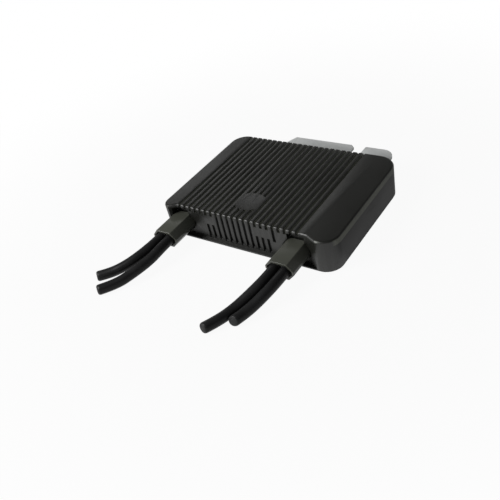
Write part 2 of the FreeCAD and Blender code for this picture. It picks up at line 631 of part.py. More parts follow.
def make_gland(side, middle):
    """A moulded strain relief round two leads: eight-sided, with a neck through the wall."""
    body = new_body(f"cable_gland_{side}")
    shoulder = f"({POCKET_FLOOR} - seal_thickness)"
    outline = new_sketch(body, f"gland_outline_{side}", "XZ_Plane", f"-({shoulder})")
    add_polygon(outline, gland_profile(middle, "0"))
    add_pad(body, f"gland_block_{side}", outline, f"{shoulder} - {GLAND_END}")
    length = measure(f"{shoulder} - {GLAND_END}")
    ridges = edge_names(body.Shape, lambda edge: abs(edge.BoundBox.YLength - length) < 0.01)
    add_rounding(body, f"gland_ridges_{side}", ridges, "gland_edge_radius")
    mouth = new_sketch(body, f"mouth_outline_{side}", "XZ_Plane", f"-({GLAND_END})")
    add_polygon(mouth, gland_profile(middle, "gland_lip"))
    add_pocket(body, f"gland_mouth_{side}", mouth, "gland_recess")
    neck = new_sketch(body, f"gland_neck_outline_{side}", "XZ_Plane",
                      f"-({POCKET_WALL_INSIDE} + neck_stand)")
    add_rectangle(neck, f"{middle} - neck_width / 2", f"{middle} + neck_width / 2",
                  "gland_level - neck_height / 2", "gland_level + neck_height / 2")
    add_pad(body, f"gland_neck_{side}", neck, f"{POCKET_WALL_INSIDE} + neck_stand - {shoulder}")
    return body


def gland_profile(middle, inset):
    """Section of a gland: flat top and bottom, upright sides and slants between them."""
    half = f"(gland_width / 2 - {inset})"
    flat = f"(gland_flat_width / 2 - {inset} * 0.6)"
    low = f"(gland_level - gland_height / 2 + {inset})"
    high = f"(gland_level + gland_height / 2 - {inset})"
    side_low = "(gland_level - gland_side_height / 2)"
    side_high = "(gland_level + gland_side_height / 2)"
    return [(f"{middle} - {flat}", low), (f"{middle} + {flat}", low), (f"{middle} + {half}", side_low),
            (f"{middle} + {half}", side_high), (f"{middle} + {flat}", high), (f"{middle} - {flat}", high),
            (f"{middle} - {half}", side_high), (f"{middle} - {half}", side_low)]


def make_gland_seal(side, middle):
    """The rubber ring between a gland's shoulder and the floor of its pocket."""
    body = new_body(f"gland_seal_{side}")
    ring = new_sketch(body, f"seal_outline_{side}", "XZ_Plane", f"-({POCKET_FLOOR})")
    for border in ("seal_border", "0"):
        beside = f"neck_width / 2 + {border}"
        above = f"neck_height / 2 + {border}"
        add_rectangle(ring, f"{middle} - ({beside})", f"{middle} + {beside}",
                      f"gland_level - ({above})", f"gland_level + {above}")
    add_pad(body, f"seal_ring_{side}", ring, "seal_thickness")
    return body


def bracket_screw_spots():
    """Places of the bracket's screws, across and up."""
    count = round(measure("bracket_screw_count"))
    return [(f"bracket_screw_first + bracket_screw_pitch * {number}", "bracket_screw_level")
            for number in range(count)]


def make_mounting_bracket():
    """One folded sheet: a leg on the back wall and a flange with an open slot for the rail bolt."""
    body = new_body("mounting_bracket")
    flange = new_sketch(body, "flange_outline", "XY_Plane", "bracket_level - bracket_thickness")
    edge = f"({BACK} + bracket_reach)"
    slot_end = f"({edge} - slot_depth)"
    slot_right = "(slot_left + slot_width)"
    add_polygon(flange, [
        ("bracket_left", BACK), ("bracket_right", BACK), ("bracket_right", edge), (slot_right, edge),
        (slot_right, slot_end), ("slot_left", slot_end), ("slot_left", f"{edge} - slot_lead"),
        ("slot_left - slot_lead", edge), ("bracket_left + bracket_left_slant", edge)])
    add_pad(body, "flange", flange, "bracket_thickness")
    ends = upright_edges(body.Shape, [(slot_right, slot_end), ("slot_left", slot_end)])
    add_rounding(body, "slot_end", ends, "slot_width * 0.49")
    corner = upright_edges(body.Shape, [("bracket_right", edge)])
    add_rounding(body, "flange_corner", corner, "bracket_corner")
    tips = upright_edges(body.Shape, [("bracket_left + bracket_left_slant", edge), (slot_right, edge)])
    add_rounding(body, "flange_tips", tips, "bracket_thickness / 2")

    leg = new_sketch(body, "leg_outline", "XZ_Plane", f"-({BACK} + bracket_thickness)")
    add_rectangle(leg, "bracket_left + bracket_corner / 2", "bracket_leg_right", "bracket_foot",
                  "bracket_level - bracket_thickness / 2")
    add_pad(body, "leg", leg, "bracket_thickness")
    fold = edge_names(body.Shape, lambda side: side.BoundBox.XLength > measure("slot_width * 2")
                      and abs(side.BoundBox.ZMin - measure("bracket_level - bracket_thickness")) < 0.01
                      and abs(side.BoundBox.YMin - measure(f"{BACK} + bracket_thickness")) < 0.01)
    add_rounding(body, "fold_inside", fold, "bracket_bend")
    feet = edge_names(body.Shape, lambda side: side.BoundBox.YLength > 1
                      and side.BoundBox.XLength < 0.01
                      and abs(side.BoundBox.ZMax - measure("bracket_foot")) < 0.01)
    add_rounding(body, "leg_corners", feet, "bracket_bend * 2")
    holes = new_sketch(body, "leg_holes_outline", "XZ_Plane", f"-({BACK})")
    for across, up in bracket_screw_spots():
        add_circle(holes, across, up, "bracket_screw_radius + screw_clearance")
    add_pocket(body, "leg_holes", holes, "bracket_thickness")
    return body


def make_circuit_board():
    body = new_body("circuit_board")
    outline = new_sketch(body, "board_outline", "XY_Plane", BOARD_BOTTOM)
    add_rounded_rectangle(outline, BOARD_LEFT, BOARD_RIGHT, BOARD_FRONT, BOARD_BACK, ["board_corner"] * 4)
    add_pad(body, "board_sheet", outline, "board_thickness")
    return body


def make_inductor_core():
    """A ferrite core with a middle leg and a window on each side of it."""
    body = new_body("inductor_core")
    section = new_sketch(body, "core_section", "XZ_Plane", "-(core_front + core_depth)")
    low = BOARD_TOP
    high = f"({CAVITY_TOP} - core_headroom)"
    add_rectangle(section, "core_left", "core_left + core_width", low, high)
    middle = "(core_left + core_width / 2)"
    for side in (-1, 1):
        near = f"{middle} + {side} * core_leg / 2"
        far = f"{near} + {side} * core_window"
        ends = (near, far) if side > 0 else (far, near)
        add_rectangle(section, *ends, f"{low} + core_yoke", f"{high} - core_yoke")
    add_pad(body, "core_block", section, "core_depth")
    return body


def make_inductor_coil():
    """The copper coil round the core's middle leg."""
    body = new_body("inductor_coil")
    ring = new_sketch(body, "coil_outline", "XY_Plane", f"{BOARD_TOP} + core_yoke")
    across = "(core_left + core_width / 2)"
    deep = "(core_front + core_depth / 2)"
    for reach, radius in (("core_window - coil_clearance", "core_window - coil_clearance"),
                          ("coil_clearance", "coil_clearance * 2")):
        half_width = f"(core_leg / 2 + {reach})"
        half_depth = f"(core_depth / 2 + {reach})"
        add_rounded_rectangle(ring, f"{across} - {half_width}", f"{across} + {half_width}",
                              f"{deep} - {half_depth}", f"{deep} + {half_depth}", [radius] * 4)
    add_pad(body, "coil_ring", ring, f"{ROOM_OVER_BOARD} - core_headroom - core_yoke * 2")
    return body


def make_input_capacitors():
    return new_group("input_capacitors", [
        new_box(f"film_{number}",
                (f"{BOARD_LEFT} + film_left_gap + film_pitch * {number}",
                 f"{BOARD_BACK} - film_back_gap - film_length", BOARD_TOP),
                ("film_width", "film_length", f"{ROOM_OVER_BOARD} - film_headroom"))
        for number in range(2)])


def make_output_capacitors():
    return new_group("output_capacitors", [
        new_round(f"can_{number}", "Part::Cylinder",
                  (f"can_first + can_pitch * {number}", "can_row", BOARD_TOP),
                  Radius="can_radius", Height=f"{ROOM_OVER_BOARD} - can_headroom")
        for number in range(2)])


def make_power_transistors():
    """Four transistors under the board, pressed on the heat pad."""
    return new_group("power_transistors", [
        new_box(f"transistor_{number}",
                (f"transistor_first + transistor_pitch * {number}", "transistor_front",
                 f"{BOARD_BOTTOM} - transistor_height"),
                ("transistor_width", "transistor_depth", "transistor_height"))
        for number in range(4)])


def make_thermal_pad():
    """The soft pad that carries the transistors' heat into the plate."""
    pad = new_box("thermal_pad",
                  ("transistor_first - thermal_border", "transistor_front - thermal_border",
                   "plate_thickness"),
                  ("transistor_pitch * 3 + transistor_width + thermal_border * 2",
                   "transistor_depth + thermal_border * 2", "standoff_height - transistor_height"))
    pad.Label = "thermal_pad"
    return pad


def make_control_chip():
    chip = new_box("control_chip", ("chip_left", "chip_front", BOARD_TOP),
                   ("chip_width", "chip_width", "chip_height"))
    chip.Label = "control_chip"
    return chip


def make_signal_transformer():
    """The small transformer that sends data over the panel's power leads."""
    block = new_box("transformer_block", ("transformer_left", "transformer_front", BOARD_TOP),
                    ("transformer_width", "transformer_depth", "transformer_height"))
    foot = new_box("transformer_foot_plate",
                   ("transformer_left - transformer_foot", "transformer_front - transformer_foot", BOARD_TOP),
                   ("transformer_width + transformer_foot * 2", "transformer_depth + transformer_foot * 2",
                    "transformer_base"))
    return new_group("signal_transformer", [block, foot])


def lead_places():
    """Where each lead leaves its gland and where its terminal stands, as X expressions."""
    return [(f"{middle} + {side} * cable_spacing / 2", shift)
            for middle, shift in ((GLAND_LEFT, "terminal_left_shift"), (GLAND_RIGHT, "terminal_right_shift"))
            for side in (-1, 1)]




def make_wire_terminals():
    return new_group("wire_terminals", [
        new_box(f"terminal_{number}",
                (f"{across} + {shift} - terminal_width / 2", "terminal_front", BOARD_TOP),
                ("terminal_width", "terminal_depth", "terminal_height"))
        for number, (across, shift) in enumerate(lead_places())])


def make_lead_conductors():
    """The bare cores between the glands' necks and the board's terminals, pulled straight."""
    start = measure(f"{POCKET_WALL_INSIDE} + neck_stand")
    back = measure("terminal_front") - start
    solids = []
    for across, shift in lead_places():
        here = Vector(measure(across), start, measure("gland_level"))
        core = Part.Circle(here, Vector(0, 1, 0), measure("conductor_diameter") / 2)
        solids.append(Part.Face(Part.Wire(core.toShape())).extrude(Vector(measure(shift), back, 0)))
    group = document.addObject("Part::Feature", "lead_conductors")
    group.Label = "lead_conductors"
    group.Shape = Part.makeCompound(solids)
    group.Placement = Placement()
    return group


def tube_along(route, radius):
    """A round tube on straight runs joined by tangent arcs, and the radius of each arc."""
    edges = []
    radii = []
    start = route[0]
    for before, corner, after in zip(route, route[1:], route[2:]):
        arriving = (corner - before).normalize()
        leaving = (after - corner).normalize()
        setback = ARC_SHARE * min((corner - before).Length, (after - corner).Length)
        half_turn = arriving.getAngle(leaving) / 2
        bend = setback / math.tan(half_turn)
        inward = (leaving - arriving).normalize()
        enter = corner - arriving * setback
        leave = corner + leaving * setback
        middle = corner + inward * (bend / math.cos(half_turn) - bend)
        edges.append(Part.LineSegment(start, enter).toShape())
        edges.append(Part.Arc(enter, middle, leave).toShape())
        radii.append(bend)
        start = leave
    edges.append(Part.LineSegment(start, route[-1]).toShape())
    path = Part.Wire(edges)
    ring = Part.Wire(Part.Circle(route[0], route[1] - route[0], radius).toShape())
    tube = path.makePipeShell([ring], True, False)
    expected = math.pi * radius ** 2 * path.Length
    if abs(tube.Volume / expected - 1) > 0.01:
        raise RuntimeError(f"a tube holds {tube.Volume:.1f} in place of {expected:.1f}")
    return tube, radii


def make_cable(name, exit_spot):
    """A free lead that leaves its gland, bends down and ends cut off on the ground."""
    start = measure(exit_spot)
    mouth = measure(f"{GLAND_END} + gland_recess")
    resting = measure("cable_diameter / 2 + cable_lift")
    drop = measure("gland_level") - resting
    route = [Vector(start + sideways, mouth - forward, resting + drop * share)
             for sideways, forward, share in CABLE_ROUTES[name]]
    tube, radii = tube_along(route, measure("cable_diameter") / 2)
    print(name, "arc radii", ", ".join(f"{radius:.1f}" for radius in radii))
    cable = document.addObject("Part::Feature", name)
    cable.Label = name
    cable.Shape = tube
    cable.Placement = Placement()
    return cable


def make_housing_screws():
    """Countersunk screws from below through the plate into the cover's bosses."""
    solids = []
    for number, (across, deep) in enumerate(SCREW_SPOTS):
        head = new_round(f"screw_head_{number}", "Part::Cone", (across, deep, "screw_sink"),
                         Radius1="screw_head_radius - screw_sink", Radius2="screw_radius",
                         Height="screw_head_radius - screw_sink - screw_radius")
        shank = new_round(f"screw_shank_{number}", "Part::Cylinder", (across, deep, "screw_sink"),
                          Radius="screw_radius", Height="screw_length")
        solids += [head, shank]
    sockets = [new_round(f"screw_socket_{number}", "Part::Prism", (across, deep, "0"),
                         Circumradius="screw_radius * 0.75", Height="screw_radius * 0.8")
               for number, (across, deep) in enumerate(SCREW_SPOTS)]
    return new_cut("housing_screws", new_group("screw_blanks", solids), new_group("screw_sockets", sockets))


def make_bracket_screws():
    """Round-headed screws through the bracket's leg into the rail behind the back wall."""
    towards_front = Rotation(Vector(1, 0, 0), 90)
    outer = f"({BACK} + bracket_thickness)"
    solids = []
    sockets = []
    for number, (across, up) in enumerate(bracket_screw_spots()):
        solids.append(new_round(f"bracket_head_{number}", "Part::Cone",
                                (across, f"{outer} + bracket_head_height", up), towards_front,
                                Radius1="bracket_head_radius * 0.8", Radius2="bracket_head_radius",
                                Height="bracket_head_height"))
        solids.append(new_round(f"bracket_shank_{number}", "Part::Cylinder", (across, outer, up), towards_front,
                                Radius="bracket_screw_radius", Height="bracket_screw_length"))
        sockets.append(new_round(f"bracket_socket_{number}", "Part::Prism",
                                 (across, f"{outer} + bracket_head_height", up), towards_front,
                                 Circumradius="bracket_screw_radius * 0.8", Height="bracket_head_height * 0.7"))
    return new_cut("bracket_screws", new_group("bracket_blanks", solids), new_group("bracket_sockets", sockets))


sub_parts = [
    make_base_plate(),
    make_housing_cover(),
    make_cover_gasket(),
    make_housing_screws(),
    make_mounting_bracket(),
    make_bracket_screws(),
    make_gland("left", GLAND_LEFT),
    make_gland("right", GLAND_RIGHT),
    make_gland_seal("left", GLAND_LEFT),
    make_gland_seal("right", GLAND_RIGHT),
    make_circuit_board(),
    make_inductor_core(),
    make_inductor_coil(),
    make_input_capacitors(),
    make_output_capacitors(),
    make_power_transistors(),
    make_thermal_pad(),
    make_control_chip(),
    make_signal_transformer(),
    make_wire_terminals(),
    make_lead_conductors(),
]
sub_parts += [make_cable(name, exit_spot) for name, (exit_spot, shift) in zip(CABLE_ROUTES, lead_places())]
document.recompute()

for item in document.Objects:
    if "Invalid" in item.State or "Error" in item.State:
        raise RuntimeError(f"{item.Label} did not build: {item.State}")
for sub_part in sub_parts:
    if sub_part.Shape.isNull() or not sub_part.Shape.isValid() or not sub_part.Shape.Solids:
        raise RuntimeError(f"{sub_part.Label} has no valid shape")

os.makedirs("parts", exist_ok=True)
for sub_part in sub_parts:
    sub_part.Shape.exportStep(f"parts/{sub_part.Label}.step")
    print(f"{sub_part.Label}: {len(sub_part.Shape.Solids)} solids, {sub_part.Shape.Volume:.0f} mm3")
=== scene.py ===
"""Dresses the model of a solar power optimizer: materials, leads with cut ends, collars and a studio."""

import math

import bmesh
import bpy
from bpy.props import FloatProperty, FloatVectorProperty, PointerProperty
from mathutils import Euler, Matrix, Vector


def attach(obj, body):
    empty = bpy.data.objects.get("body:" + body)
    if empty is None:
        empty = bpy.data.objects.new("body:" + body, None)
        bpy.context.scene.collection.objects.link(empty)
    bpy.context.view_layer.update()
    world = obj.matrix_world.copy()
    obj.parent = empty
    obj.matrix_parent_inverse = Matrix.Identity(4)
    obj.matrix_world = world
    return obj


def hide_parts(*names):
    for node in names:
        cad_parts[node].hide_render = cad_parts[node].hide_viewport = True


bl_info = {
    "name": "Power Optimizer Looks",
    "version": (1, 0, 0),
    "blender": (4, 5, 0),
    "location": "View3D > Sidebar > Optimizer",
    "description": "Gives the frame of a power optimizer its plastics, metals, leads and studio",
    "category": "Object",
}

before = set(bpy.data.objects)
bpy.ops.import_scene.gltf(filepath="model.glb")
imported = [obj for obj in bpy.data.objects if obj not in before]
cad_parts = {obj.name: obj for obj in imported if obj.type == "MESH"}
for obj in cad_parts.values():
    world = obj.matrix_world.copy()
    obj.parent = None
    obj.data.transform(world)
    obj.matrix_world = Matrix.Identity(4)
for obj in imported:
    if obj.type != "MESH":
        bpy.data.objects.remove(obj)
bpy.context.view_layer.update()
MM = 0.001
BODY = "root"

# The leads: gland, lane beside the gland's middle, real length in mm, and route. A point of the route is
# its way sideways and forward from where the lead leaves the gland, in mm, and the share of that height
# over its resting height that it still has. The routes are the solid model's, but all last points save
# the shortest lead's reach up to 2 mm further.
GLAND_MIDDLES = {"left": -60.0, "right": 44.0}
GLAND_LEVEL = 11.8
GLAND_MOUTH = -73.7
LEAD_LIFT = 0.1
LEADS = {
    "left_outer": ("left", -1, 62.1, [
        (0.0, 0.0, 1.0), (0.0, 11.5, 1.0), (-2.9, 24.2, 0.81),
        (-9.4, 35.7, 0.4), (-19.2, 45.4, 0.0), (-27.3, 52.5, 0.0)]),
    "left_inner": ("left", 1, 70.3, [
        (0.0, 0.0, 1.0), (0.0, 11.5, 1.0), (-1.6, 25.3, 0.66),
        (-6.8, 39.8, 0.36), (-13.8, 53.1, 0.0), (-24.0, 64.4, 0.0)]),
    "right_long": ("right", -1, 67.4, [
        (0.0, 0.0, 1.0), (0.0, 11.5, 1.0), (-2.6, 24.0, 0.75),
        (-9.4, 38.7, 0.02), (-14.1, 53.8, 0.0), (-20.2, 64.3, 0.0)]),
    "right_short": ("right", 1, 54.9, [
        (0.0, 0.0, 1.0), (0.0, 11.5, 1.0), (-2.2, 22.8, 0.74),
        (-6.6, 34.5, 0.24), (-10.9, 45.1, 0.0), (-13.5, 51.8, 0.0)]),
}
LEAD_SIDES = 48

# The leads' cut ends: where the slanting faces look, and their slant from a square cut, in degrees.
CUT_FACING = Vector((0.7, -0.4, 0.6))
CUT_SLANTS = {"left_outer": 12.0, "left_inner": 15.0, "right_long": 15.0, "right_short": 24.0}
# From the jacket's side to the middle: share of the radius, and reach along the lead in mm. The first
# strips of the worn rim are still the jacket's own surface.
RIM_PROFILE = [
    (1.0, -1.9), (0.985, -1.35), (0.945, -0.85), (0.88, -0.45), (0.8, -0.18), (0.72, -0.05), (0.66, 0.0)]
SLEEVE_PROFILE = [(0.62, -0.02), (0.6, -0.16), (0.57, -0.16), (0.55, 0.0), (0.42, 0.05), (0.2, 0.07)]
JACKET_RIM_STRIPS = 3
# Least way from the jacket's last square ring to the cut's shortest side.
CUT_ROOM = 2.2 * MM

# The rubber collar round a lead in its gland: radius in lead diameters, and reach in mm.
COLLAR_PROFILE = [(0.5, 0.0), (0.535, 0.0), (0.532, 0.7), (0.52, 1.05), (0.5, 1.15)]
COLLAR_SIDES = 40

# Where the cover's plastic changes, each from one place to another: the heights of the mouths and floors
# of the top's grooves, the place of their front ends along Y, and the front top edge as height less Y,
# where a highlight is painted on the rib ends.
GROOVE_MOUTHS = (26.5 * MM, 25.9 * MM)
GROOVE_FLOORS = (21.5 * MM, 22.5 * MM)
GROOVE_FRONTS = (-52.0 * MM, -49.0 * MM)
FRONT_TOP_EDGE = (81.6 * MM, 82.15 * MM)

# Rounding the edges: points this near are one, faces that turn less are one flat face, and edges that
# turn more are rounded.
WELD_REACH = 0.002 * MM
FLAT_TURN = math.radians(1.0)
SHARP_TURN = math.radians(30.0)

CAMERA_SPOT = (0.247119, -0.324612, 0.282809)
CAMERA_TURN = (51.45653, 10.994255, 33.486191)
CAMERA_LENS = 44.358

# The lamps: place, and width of the disk.
KEY_LAMP = ((-0.73, -0.81, 0.81), 0.7)
FILL_LAMP = ((-0.96, 0.8, 0.81), 0.4)
LAMPS_AIM = Vector((0.0, -0.02, 0.0))
# The floor lies just under the part. Near the part and far from it, each with its way from the middle,
# the floor shows a share of plain white. Shiny surfaces show it grey behind a place along Y.
FLOOR_LEVEL = -0.05 * MM
FLOOR_NEAR = (0.12, 0.94)
FLOOR_FAR = (0.45, 1.0)
FLOOR_BACK = (-60.0 * MM, -30.0 * MM)
FLOOR_BACK_GREY = 0.3
# Shiny surfaces show the room white up to one height and as dark as the ceiling from another, in shares
# of the way from the horizon to straight up.
CEILING_RISE = (0.08, 0.36)


class Signal:
    """A shader socket that takes part in Python expressions."""

    def __init__(self, paint, socket):
        self.paint = paint
        self.socket = socket

    def _math(self, operation, first, second=0.0):
        return self.paint.node("ShaderNodeMath", {"operation": operation}, {0: first, 1: second})

    def __add__(self, other):
        return self._math("ADD", self, other)

    def __radd__(self, other):
        return self._math("ADD", other, self)

    def __sub__(self, other):
        return self._math("SUBTRACT", self, other)

    def __rsub__(self, other):
        return self._math("SUBTRACT", other, self)

    def __mul__(self, other):
        return self._math("MULTIPLY", self, other)

    def __rmul__(self, other):
        return self._math("MULTIPLY", other, self)

    def band(self, low, high, before=0.0, after=1.0):
        """One value below low, another above high, with a soft step between."""
        return self.paint.node(
            "ShaderNodeMapRange", {"interpolation_type": "SMOOTHSTEP"},
            {"Value": self, "From Min": low, "From Max": high, "To Min": before, "To Max": after})


class Paint:
    """A material or the world, and the one way in which its nodes are made."""

    def __init__(self, name, world=False):
        self.owner = (bpy.data.worlds if world else bpy.data.materials).new(name)
        self.owner.use_nodes = True
        self.tree = self.owner.node_tree
        self.shader = self.tree.nodes["Background" if world else "Principled BSDF"]
        self.place = self.node("ShaderNodeTexCoord", output="Generated" if world else "Object")

    def node(self, kind, settings=None, inputs=None, output=0):
        """Makes a node, sets its settings, then its sockets, and returns one of its outputs."""
        made = self.tree.nodes.new(kind)
        for name, value in (settings or {}).items():
            setattr(made, name, value)
        for key, value in (inputs or {}).items():
            self.feed(made.inputs[key], value)
        return Signal(self, made.outputs[output])

    def feed(self, socket, value):
        if isinstance(value, Signal):
            self.tree.links.new(value.socket, socket)
        else:
            socket.default_value = value

    def stretched(self, scale, turn=(0.0, 0.0, 0.0)):
        """Object coordinates with their own scale along each axis."""
        return self.node(
            "ShaderNodeMapping", {}, {"Vector": self.place, "Scale": scale, "Rotation": turn})

    def noise(self, scale, detail=2.0, vector=None, roughness=0.5):
        return self.node(
            "ShaderNodeTexNoise", {},
            {"Vector": vector or self.place, "Scale": scale, "Detail": detail, "Roughness": roughness})

    def cells(self, scale, output="Distance"):
        """Distances or colours of small cells."""
        return self.node(
            "ShaderNodeTexVoronoi", {}, {"Vector": self.place, "Scale": scale}, output=output)

    def along(self, axis):
        """The object coordinate along one axis, in metres."""
        return self.node("ShaderNodeSeparateXYZ", {}, {"Vector": self.place}, output=axis)

    def mix(self, factor, first, second):
        """A colour between two colours."""
        return self.node(
            "ShaderNodeMix", {"data_type": "RGBA"},
            {0: factor, 6: self._colour(first), 7: self._colour(second)}, output=2)

    @staticmethod
    def _colour(value):
        return value if isinstance(value, Signal) else (*value[:3], 1.0)

    def finish(self, colour, roughness, metallic=0.0, height=None, depth=0.0, specular=0.5):
        """Feeds the shader. The height is in shares of the depth, which is in metres."""
        self.feed(self.shader.inputs["Base Color"], self._colour(colour))
        self.feed(self.shader.inputs["Roughness"], roughness)
        self.feed(self.shader.inputs["Metallic"], metallic)
        self.shader.inputs["Specular IOR Level"].default_value = specular
        if height is not None:
            bump = self.node(
                "ShaderNodeBump", {}, {"Strength": 1.0, "Distance": depth, "Height": height})
            self.feed(self.shader.inputs["Normal"], bump)
        return self.owner

    def ray(self, kind):
        """1 for rays of a kind, else 0."""
        return self.node("ShaderNodeLightPath", output=f"Is {kind} Ray")

    def looked_at(self):
        """1 or more where the camera looks, straight, by a reflection or through something."""
        return self.ray("Camera") + self.ray("Glossy") + self.ray("Transmission")

    def blend(self, factor, first, second, output):
        """Feeds the output with a mix of two shaders."""
        mixed = self.node("ShaderNodeMixShader", {}, {0: factor, 1: first, 2: second})
        self.feed(self.tree.nodes[output].inputs["Surface"], mixed)


def tint(colour, share):
    """A colour made darker or lighter."""
    return [channel * share for channel in colour]


def moulded_plastic(name, colour, grain_size, grain_depth, roughness, ribbed=False):
    """Moulded plastic: an eroded grain, flow clouds and scuffs; on ribs, lighter groove patches and
    painted end highlights.
    """
    paint = Paint(name)
    clouds = paint.noise(24.0, 3.0)
    grain = paint.noise(1.0 / grain_size, 3.0, roughness=0.6)
    pits = paint.cells(0.6 / grain_size)
    scuffs = paint.noise(260.0, 2.0, vector=paint.stretched((1.0, 0.12, 1.0))).band(0.62, 0.74)
    dark = tint(colour, 0.82)
    light = tint(colour, 1.25)
    shade = paint.mix((clouds - 0.5) * 0.9 + grain * 0.5, dark, light)
    gloss = roughness + (clouds - 0.5) * 0.14 + (grain - 0.5) * 0.12 + scuffs * 0.08
    if ribbed:
        up = paint.along("Z")
        grooved = up.band(*GROOVE_MOUTHS) * up.band(*GROOVE_FLOORS)
        # Lighter colour in patches, by height between the grooves' floors and mouths and behind their
        # front ends along Y.
        lighter_groove_patches = grooved * paint.along("Y").band(*GROOVE_FRONTS) * clouds.band(0.0, 0.7)
        shade = paint.mix(lighter_groove_patches, shade, tint(colour, 15.0))
        # Painted highlight: the rib ends along the front top edge get a lighter colour and less
        # roughness.
        painted_rib_end_highlight = (up - paint.along("Y")).band(*FRONT_TOP_EDGE) * (0.55 + scuffs * 0.45)
        shade = paint.mix(painted_rib_end_highlight, shade, tint(colour, 10.0))
        gloss = gloss - painted_rib_end_highlight * 0.08
    return paint.finish(shade, gloss, height=grain + pits * 0.5, depth=grain_depth)


def coated_plate(name, colour, roughness):
    """Black coated sheet: a fine orange peel and faint wiping marks."""
    paint = Paint(name)
    peel = paint.noise(900.0, 2.0)
    clouds = paint.noise(18.0, 3.0)
    wiped = paint.noise(60.0, 4.0, vector=paint.stretched((1.0, 9.0, 1.0), (0.0, 0.0, 0.4)))
    light = tint(colour, 1.5)
    shade = paint.mix(clouds * 0.5 + wiped * 0.3, colour, light)
    gloss = roughness + (wiped - 0.5) * 0.16 + (clouds - 0.5) * 0.1
    return paint.finish(shade, gloss, height=peel, depth=0.02 * MM, specular=0.4)


def lead_jacket(name, colour, roughness):
    """Extruded jacket: fine draw lines, a talc haze and small scuffs."""
    paint = Paint(name)
    lines = paint.noise(1500.0, 2.0, vector=paint.stretched((1.0, 0.08, 1.0), (0.0, 0.0, 0.35)))
    haze = paint.noise(55.0, 4.0)
    specks = paint.cells(900.0).band(0.02, 0.1)
    light = tint(colour, 1.9)
    shade = paint.mix(haze.band(0.42, 0.75) * 0.5 + (1.0 - specks) * 0.15, colour, light)
    gloss = roughness + (haze - 0.5) * 0.2 + (lines - 0.5) * 0.12
    return paint.finish(shade, gloss, height=lines + specks * 0.3, depth=0.02 * MM, specular=0.16)


def zinc_sheet(name, colour):
    """Zinc-coated steel: crystals of slightly different grey, rolling lines and a dull film."""
    paint = Paint(name)
    crystals = paint.cells(320.0, output="Color")
    tone = paint.node("ShaderNodeSeparateColor", {}, {"Color": crystals}, output="Red")
    rolled = paint.noise(420.0, 3.0, vector=paint.stretched((0.06, 1.0, 1.0)))
    film = paint.noise(30.0, 4.0)
    dark = tint(colour, 0.86)
    shade = paint.mix(tone * 0.35 + film * 0.45 + rolled * 0.2, dark, colour)
    gloss = 0.42 + (tone - 0.5) * 0.12 + (film - 0.5) * 0.2
    return paint.finish(shade, gloss, metallic=0.55, height=rolled + tone * 0.4, depth=0.015 * MM)


def turned_steel(name, colour):
    """Screw steel: fine turning marks and a few dull spots."""
    paint = Paint(name)
    marks = paint.noise(2600.0, 2.0)
    spots = paint.noise(260.0, 3.0).band(0.5, 0.7)
    dark = tint(colour, 0.6)
    return paint.finish(
        paint.mix(spots * 0.5 + marks * 0.2, colour, dark), 0.3 + spots * 0.25 + (marks - 0.5) * 0.1,
        metallic=1.0, height=marks, depth=0.01 * MM)


def soft_rubber(name, colour):
    """Moulded rubber: matt, with a fine bloom."""
    paint = Paint(name)
    bloom = paint.noise(140.0, 4.0)
    fine = paint.noise(2200.0, 2.0)
    light = tint(colour, 1.8)
    return paint.finish(
        paint.mix(bloom.band(0.35, 0.8) * 0.6, colour, light), 0.68 + (bloom - 0.5) * 0.2,
        height=fine, depth=0.02 * MM, specular=0.35)


def plain_part(name, colour, roughness, metallic, mark_size):
    """A bought-in component inside the housing: its own colour with fine marks."""
    paint = Paint(name)
    marks = paint.noise(1.0 / mark_size, 3.0)
    broad = paint.noise(90.0, 2.0)
    dark = tint(colour, 0.7)
    return paint.finish(
        paint.mix(marks * 0.5 + broad * 0.3, colour, dark), roughness + (broad - 0.5) * 0.15,
        metallic=metallic, height=marks, depth=0.02 * MM)


def dress(names, material):
    """Gives CAD nodes a material."""
    for name in names:
        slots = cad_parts[name].data.materials
        slots.clear()
        slots.append(material)


def soften(names, width):
    """Rounds the sharp edges of CAD nodes a little, as a tool or a brake leaves them."""
    for name in names:
        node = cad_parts[name]
        weld = node.modifiers.new("weld", "WELD")
        weld.merge_threshold = WELD_REACH
        flat = node.modifiers.new("flat_faces", "DECIMATE")
        flat.decimate_type = "DISSOLVE"
        flat.angle_limit = FLAT_TURN
        bevel = node.modifiers.new("edge_rounding", "BEVEL")
        bevel.width = width
        bevel.segments = 2
        bevel.limit_method = "ANGLE"
        bevel.angle_limit = SHARP_TURN
        bevel.use_clamp_overlap = True
        bevel.harden_normals = True
        for face in node.data.polygons:
            face.use_smooth = True


def join_rings(shape, inner, outer, material_index=0):
    """Closes the wall between two rings of points."""
    for number in range(len(inner)):
        following = (number + 1) % len(inner)
        face = shape.faces.new((inner[number], inner[following], outer[following], outer[number]))
        face.material_index = material_index


def smooth_mesh(shape, name):
    """Turns a built shape into a mesh with smooth faces."""
    mesh = bpy.data.meshes.new(name)
    shape.to_mesh(mesh)
    shape.free()
    for face in mesh.polygons:
        face.use_smooth = True
    return mesh


def mesh_object(name, mesh, material):
    """Adds a piece to the scene and lets it ride on the part."""
    piece = bpy.data.objects.new(name, mesh)
    mesh.materials.append(material)
    bpy.context.scene.collection.objects.link(piece)
    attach(piece, BODY)
    return piece


class CoverSettings(bpy.types.PropertyGroup):
    colour: FloatVectorProperty(
        name="Cover Colour", description="Colour of the moulded cover", subtype="COLOR",
        default=(0.0076, 0.0079, 0.0063), min=0.0, max=1.0)
    grain_size: FloatProperty(
        name="Grain Size", description="Size of the grain on the moulded surfaces", unit="LENGTH",
        default=0.00032, min=0.0001, max=0.002, precision=5)
    edge_rounding: FloatProperty(
        name="Edge Rounding", description="Rounding of the ribs' edges", unit="LENGTH",
        default=0.00022, min=0.0, max=0.001, precision=5)


